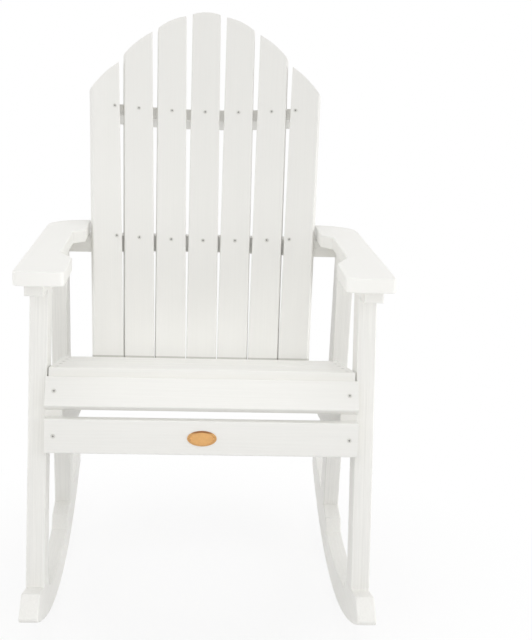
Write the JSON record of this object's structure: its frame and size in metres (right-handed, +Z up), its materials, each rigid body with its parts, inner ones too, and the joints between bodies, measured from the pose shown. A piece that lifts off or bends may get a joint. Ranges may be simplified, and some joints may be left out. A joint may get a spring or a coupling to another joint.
{
  "type": "rocking chair",
  "caption": "White slatted rocking chair with a fan back, flat arms with a scooped inner edge, splayed legs and curved rockers.",
  "frame": {"origin": "on the floor, midway between the front and rear tips of the rockers, under the line where the rockers touch the floor", "axes": "+Z up, the sitter faces -Y, +X towards the sitter's left hand"},
  "size_m": [0.612, 0.88, 1.0944],
  "materials": {
    "lumber": "white plastic lumber with an embossed fine wood grain, matt, edges slightly rounded",
    "stainless_steel": "stainless steel screws and bolts",
    "plate": "blank satin plate in a pale gold colour"
  },
  "bodies": {
    "root": {"apron_screws": "stainless_steel", "arm_screws": "stainless_steel", "back_slat_1": "lumber", "back_slat_2": "lumber", "back_slat_3": "lumber", "back_slat_4": "lumber", "back_slat_5": "lumber", "back_slat_6": "lumber", "back_slat_7": "lumber", "back_slat_screws": "stainless_steel", "bar_end_screws": "stainless_steel", "blank_plate": "plate", "lag_bolts": "stainless_steel", "lag_washers": "stainless_steel", "left_arm": "lumber", "left_arm_bar": "lumber", "left_front_leg": "lumber", "left_rear_leg": "lumber", "left_rocker": "lumber", "left_seat_rail": "lumber", "leg_top_screws": "stainless_steel", "lower_apron": "lumber", "lower_back_rail": "lumber", "lower_rail_screws": "stainless_steel", "mid_back_rail": "lumber", "plate_pins": "stainless_steel", "right_arm": "lumber", "right_arm_bar": "lumber", "right_front_leg": "lumber", "right_rear_leg": "lumber", "right_rocker": "lumber", "right_seat_rail": "lumber", "rocker_screws": "stainless_steel", "seat_slat_1": "lumber", "seat_slat_2": "lumber", "seat_slat_3": "lumber", "seat_slat_4": "lumber", "seat_slat_5": "lumber", "seat_slat_screws": "stainless_steel", "upper_apron": "lumber", "upper_back_rail": "lumber"}
  },
  "joints": []
}
